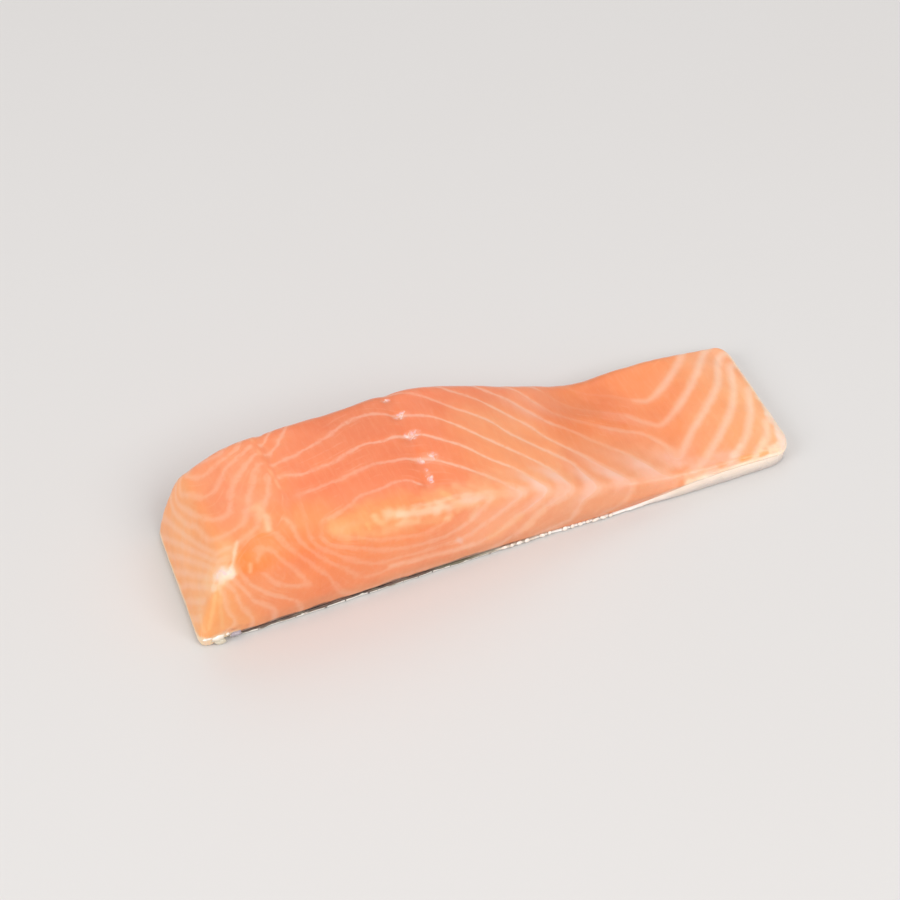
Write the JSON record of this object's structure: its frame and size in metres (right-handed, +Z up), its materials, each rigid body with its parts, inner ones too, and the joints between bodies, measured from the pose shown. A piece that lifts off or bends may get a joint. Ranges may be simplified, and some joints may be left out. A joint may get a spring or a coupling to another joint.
{
  "type": "atlantic salmon portion",
  "caption": "Raw salmon portion cut across one side of the fish: a thick loin end that thins to a flat belly flap, lying on its skin.",
  "frame": {"origin": "middle of the underside of the portion's box, on the surface it lies on", "axes": "+X from the loin end to the belly end, +Y across the slice, which is along the fish, +Z up"},
  "size_m": [0.1788, 0.0468, 0.0301],
  "materials": {
    "flesh": "moist, soft orange-pink muscle with pale fat lines",
    "skin": "moist scaly skin, dark at the back of the fish, silver, then white at the belly"
  },
  "bodies": {
    "root": {"flesh": "flesh", "skin": "skin"}
  },
  "joints": []
}
